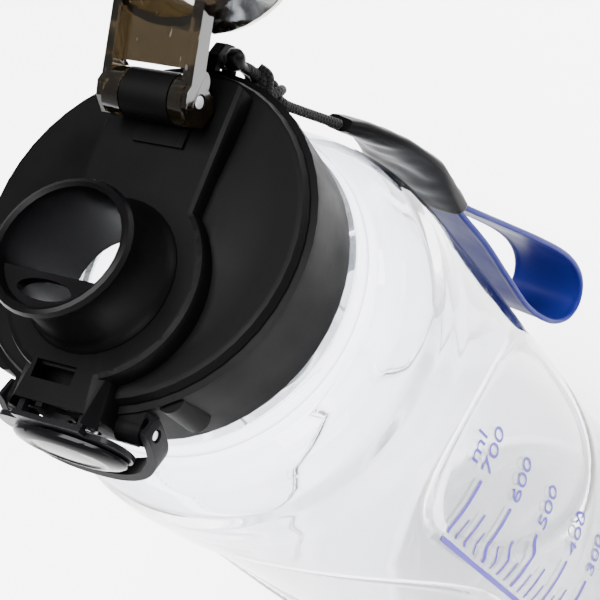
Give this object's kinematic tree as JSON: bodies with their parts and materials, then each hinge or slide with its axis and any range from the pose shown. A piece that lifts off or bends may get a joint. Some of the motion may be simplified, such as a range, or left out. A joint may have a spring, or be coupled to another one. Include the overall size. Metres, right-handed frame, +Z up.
{
  "type": "sports water bottle",
  "caption": "Clear rigid sports bottle with black screw cap, drinking spout, smoked flip lid open at the back, push-button latch with safety ring, and a blue carry strap on a cord.",
  "frame": {"origin": "centre of the bottle's flat base, on the table", "axes": "+Z up along the bottle, -Y to the front where the latch button is, +X to the right of someone who faces the latch button, +Y to the back where the hinge and the strap are"},
  "size_m": [0.0832, 0.1152, 0.2717],
  "materials": {
    "clear_body": "clear, glossy",
    "pale_silicone": "soft, matte",
    "black_matte": "fine matte",
    "black_spout": "satin",
    "pin_steel": "plain",
    "smoked_plastic": "smoked brown, see-through where thin, glossy",
    "dark_silicone": "soft, matte",
    "black_satin": "satin",
    "black_gloss": "glossy",
    "black_cord": "braided",
    "black_rubber": "soft satin",
    "blue_silicone": "soft matte"
  },
  "bodies": {
    "bottle": {"bottle_body": "clear_body"},
    "seal": {"neck_seal": "pale_silicone"},
    "cap": {"cap_shell": "black_matte", "spout": "black_spout", "hinge_pin": "pin_steel", "latch_spring": "pin_steel", "ring_pin_left": "pin_steel", "ring_pin_right": "pin_steel", "cord_loop": "black_cord", "cord_ball": "black_cord", "cord_knot": "black_cord"},
    "lid": {"lid_shell": "smoked_plastic", "lid_seal": "dark_silicone"},
    "latch": {"latch_plate": "black_satin", "button_dome": "black_gloss"},
    "safety_ring": {"lock_ring": "black_satin"},
    "strap": {"cord_strand_left": "black_cord", "cord_strand_right": "black_cord", "strap_sleeve": "black_rubber", "strap_band": "blue_silicone"}
  },
  "joints": [
    {"name": "cap_lift", "type": "slide", "parent": "bottle", "child": "seal", "axis": [0, 0, 1], "range_m": [0, 0.018]},
    {"name": "cap_turn", "type": "hinge", "parent": "seal", "child": "cap", "pos_m": [0, 0, 0.227], "axis": [0, 0, 1], "range_deg": [0, 1080]},
    {"name": "lid_flip", "type": "hinge", "parent": "cap", "child": "lid", "pos_m": [0, 0.0212, 0.242], "axis": [1, 0, 0], "range_deg": [0, 157]},
    {"name": "button_press", "type": "slide", "parent": "cap", "child": "latch", "axis": [0, 1, 0], "range_m": [0, 0.001], "stiffness_N_per_m": 600, "springref_m": -0.0008, "deforming": ["latch_spring"]},
    {"name": "ring_swing", "type": "hinge", "parent": "cap", "child": "safety_ring", "pos_m": [0, -0.0334, 0.227], "axis": [-1, 0, 0], "range_deg": [0, 110]},
    {"name": "strap_swing", "type": "hinge", "parent": "cap", "child": "strap", "pos_m": [0.0031, 0.0375, 0.2112], "axis": [0.9877, -0.1564, 0], "range_deg": [0, 80]}
  ],
  "couplings": [
    {"joint": "cap_lift", "follows": "cap_turn", "m_per_rad": 0.00095493}
  ]
}
